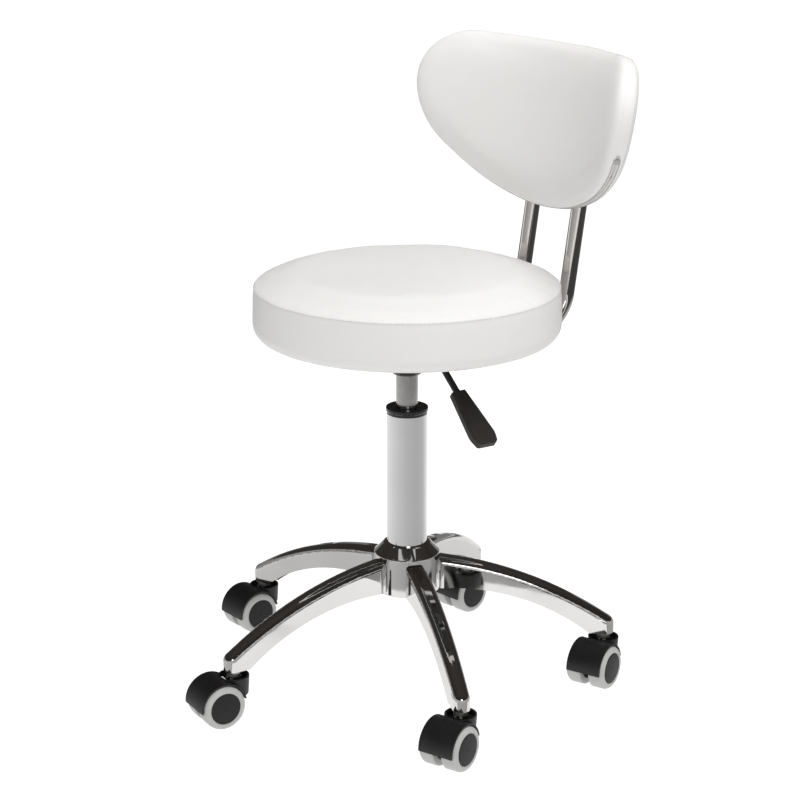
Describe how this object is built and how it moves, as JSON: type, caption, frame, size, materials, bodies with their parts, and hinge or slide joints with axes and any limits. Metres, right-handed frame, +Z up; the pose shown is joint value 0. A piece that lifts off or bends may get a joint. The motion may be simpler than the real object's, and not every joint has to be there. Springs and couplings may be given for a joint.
{
  "type": "stylist stool",
  "caption": "Rolling stylist stool with a round upholstered seat, a small curved backrest on bent tubes, a gas lift with a lever, and a chromed star base on twin-wheel casters.",
  "frame": {"origin": "on the floor, on the axis of the column", "axes": "+Z up; the sitter faces -Y and the backrest is at +Y; +X is the sitter's left"},
  "size_m": [0.5382, 0.5475, 0.7826],
  "materials": {
    "chrome": "polished",
    "column_chrome": "polished",
    "bright_steel": "ground",
    "zinc_steel": "zinc plated",
    "black_enamel": "satin black enamel",
    "gloss_black": "gloss",
    "black_plastic": "satin",
    "hood_plastic": "satin",
    "tread": "soft polyurethane, matte",
    "rubber": "matte",
    "upholstery": "smooth satin white leatherette, a vinyl-coated fabric, over foam",
    "plywood": "raw",
    "black_fabric": "non-woven"
  },
  "bodies": {
    "base": {"base_hub": "chrome", "base_arms": "chrome", "caster_sockets": "zinc_steel", "column_tube": "column_chrome", "guide_bush": "gloss_black", "thrust_bearing": "bright_steel"},
    "piston": {"piston_rod": "bright_steel", "bump_stop": "rubber", "retaining_clip": "bright_steel"},
    "seat": {"pressure_tube": "bright_steel", "seat_plate": "black_enamel", "lever_pin": "zinc_steel", "plate_bolts": "zinc_steel", "seat_board": "plywood", "seat_cushion": "upholstery", "dust_cover": "black_fabric", "backrest_tube_left": "chrome", "backrest_tube_right": "chrome", "tube_clamps": "black_enamel", "backrest_board": "plywood", "backrest_cushion": "upholstery", "backrest_screws": "zinc_steel"},
    "lever": {"lever_rod": "zinc_steel", "lever_handle": "black_plastic"},
    "button": {"release_button": "bright_steel"},
    "caster_1": {"caster_1_stem": "bright_steel", "caster_1_hood": "hood_plastic", "caster_1_axle": "bright_steel"},
    "caster_1_left": {"caster_1_wheel_left": "black_plastic", "caster_1_tread_left": "tread"},
    "caster_1_right": {"caster_1_wheel_right": "black_plastic", "caster_1_tread_right": "tread"},
    "caster_2": {"caster_2_stem": "bright_steel", "caster_2_hood": "hood_plastic", "caster_2_axle": "bright_steel"},
    "caster_2_left": {"caster_2_wheel_left": "black_plastic", "caster_2_tread_left": "tread"},
    "caster_2_right": {"caster_2_wheel_right": "black_plastic", "caster_2_tread_right": "tread"},
    "caster_3": {"caster_3_stem": "bright_steel", "caster_3_hood": "hood_plastic", "caster_3_axle": "bright_steel"},
    "caster_3_left": {"caster_3_wheel_left": "black_plastic", "caster_3_tread_left": "tread"},
    "caster_3_right": {"caster_3_wheel_right": "black_plastic", "caster_3_tread_right": "tread"},
    "caster_4": {"caster_4_stem": "bright_steel", "caster_4_hood": "hood_plastic", "caster_4_axle": "bright_steel"},
    "caster_4_left": {"caster_4_wheel_left": "black_plastic", "caster_4_tread_left": "tread"},
    "caster_4_right": {"caster_4_wheel_right": "black_plastic", "caster_4_tread_right": "tread"},
    "caster_5": {"caster_5_stem": "bright_steel", "caster_5_hood": "hood_plastic", "caster_5_axle": "bright_steel"},
    "caster_5_left": {"caster_5_wheel_left": "black_plastic", "caster_5_tread_left": "tread"},
    "caster_5_right": {"caster_5_wheel_right": "black_plastic", "caster_5_tread_right": "tread"}
  },
  "joints": [
    {"name": "seat_swivel", "type": "hinge", "parent": "base", "child": "piston", "pos_m": [0, 0, 0.119], "axis": [0, 0, 1], "continuous": true},
    {"name": "seat_height", "type": "slide", "parent": "piston", "child": "seat", "axis": [0, 0, 1], "range_m": [-0.033, 0.1]},
    {"name": "lever_pivot", "type": "hinge", "parent": "seat", "child": "lever", "pos_m": [0.025, 0, 0.434], "axis": [0, -1, 0], "range_deg": [0, 8], "stiffness_Nm_per_rad": 1.5, "springref_deg": -6.88},
    {"name": "button_press", "type": "slide", "parent": "seat", "child": "button", "axis": [0, 0, -1], "range_m": [0, 0.0036]},
    {"name": "caster_1_swivel", "type": "hinge", "parent": "base", "child": "caster_1", "pos_m": [0, -0.2471, 0.055], "axis": [0, 0, 1], "continuous": true},
    {"name": "caster_1_left_spin", "type": "hinge", "parent": "caster_1", "child": "caster_1_left", "pos_m": [-0.00027, -0.2709, 0.0271], "axis": [0.9999, -0.0113, 0], "continuous": true},
    {"name": "caster_1_right_spin", "type": "hinge", "parent": "caster_1", "child": "caster_1_right", "pos_m": [-0.00027, -0.2709, 0.0271], "axis": [0.9999, -0.0113, 0], "continuous": true},
    {"name": "caster_2_swivel", "type": "hinge", "parent": "base", "child": "caster_2", "pos_m": [0.23501, -0.07636, 0.055], "axis": [0, 0, 1], "continuous": true},
    {"name": "caster_2_left_spin", "type": "hinge", "parent": "caster_2", "child": "caster_2_left", "pos_m": [0.24436, -0.09824, 0.0271], "axis": [0.9195, 0.3931, 0], "continuous": true},
    {"name": "caster_2_right_spin", "type": "hinge", "parent": "caster_2", "child": "caster_2_right", "pos_m": [0.24436, -0.09824, 0.0271], "axis": [0.9195, 0.3931, 0], "continuous": true},
    {"name": "caster_3_swivel", "type": "hinge", "parent": "base", "child": "caster_3", "pos_m": [0.14524, 0.19991, 0.055], "axis": [0, 0, 1], "continuous": true},
    {"name": "caster_3_left_spin", "type": "hinge", "parent": "caster_3", "child": "caster_3_left", "pos_m": [0.15517, 0.17828, 0.0271], "axis": [0.9089, 0.4171, 0], "continuous": true},
    {"name": "caster_3_right_spin", "type": "hinge", "parent": "caster_3", "child": "caster_3_right", "pos_m": [0.15517, 0.17828, 0.0271], "axis": [0.9089, 0.4171, 0], "continuous": true},
    {"name": "caster_4_swivel", "type": "hinge", "parent": "base", "child": "caster_4", "pos_m": [-0.14524, 0.19991, 0.055], "axis": [0, 0, 1], "continuous": true},
    {"name": "caster_4_left_spin", "type": "hinge", "parent": "caster_4", "child": "caster_4_left", "pos_m": [-0.14044, 0.1766, 0.0271], "axis": [0.9794, 0.2019, 0], "continuous": true},
    {"name": "caster_4_right_spin", "type": "hinge", "parent": "caster_4", "child": "caster_4_right", "pos_m": [-0.14044, 0.1766, 0.0271], "axis": [0.9794, 0.2019, 0], "continuous": true},
    {"name": "caster_5_swivel", "type": "hinge", "parent": "base", "child": "caster_5", "pos_m": [-0.23501, -0.07636, 0.055], "axis": [0, 0, 1], "continuous": true},
    {"name": "caster_5_left_spin", "type": "hinge", "parent": "caster_5", "child": "caster_5_left", "pos_m": [-0.23225, -0.1, 0.0271], "axis": [0.9933, 0.1158, 0], "continuous": true},
    {"name": "caster_5_right_spin", "type": "hinge", "parent": "caster_5", "child": "caster_5_right", "pos_m": [-0.23225, -0.1, 0.0271], "axis": [0.9933, 0.1158, 0], "continuous": true}
  ],
  "couplings": [
    {"joint": "button_press", "follows": "lever_pivot", "m_per_rad": 0.025}
  ]
}
